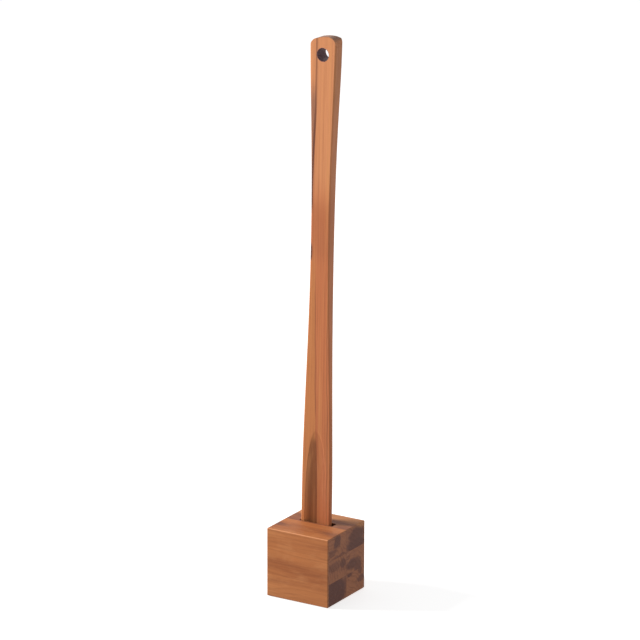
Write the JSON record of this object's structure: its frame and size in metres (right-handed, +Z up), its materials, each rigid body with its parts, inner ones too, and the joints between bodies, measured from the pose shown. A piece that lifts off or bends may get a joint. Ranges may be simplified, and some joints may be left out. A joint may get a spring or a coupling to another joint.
{
  "type": "shoehorn with stand",
  "caption": "Long wooden shoehorn with a flat front, a rounded back, a scooped blade and a hanging hole, leaning in the slot of a cube-shaped block stand glued up from wooden staves.",
  "frame": {"origin": "on the floor, under the middle of the stand", "axes": "+Z up, +Y towards the back of the stand, where the shoehorn leans, +X to the right seen from the front"},
  "size_m": [0.091, 0.091, 0.7242],
  "materials": {
    "stave_front_bottom": "oiled, satin",
    "stave_front_middle": "oiled, satin",
    "stave_front_top": "oiled, satin",
    "stave_rear_bottom": "oiled, satin",
    "stave_rear_middle": "oiled, satin",
    "stave_rear_top": "oiled, satin",
    "horn_wood": "oiled, satin",
    "felt": "pressed felt"
  },
  "bodies": {
    "stand": {"stave_front_bottom": "stave_front_bottom", "stave_front_middle": "stave_front_middle", "stave_front_top": "stave_front_top", "stave_rear_bottom": "stave_rear_bottom", "stave_rear_middle": "stave_rear_middle", "stave_rear_top": "stave_rear_top", "felt_pad_front_left": "felt", "felt_pad_front_right": "felt", "felt_pad_rear_left": "felt", "felt_pad_rear_right": "felt"},
    "shoehorn": {"shoehorn": "horn_wood"}
  },
  "joints": [
    {"name": "lift", "type": "slide", "parent": "stand", "child": "shoehorn", "axis": [0, 0.025, 0.9997], "range_m": [0, 0.066]}
  ]
}
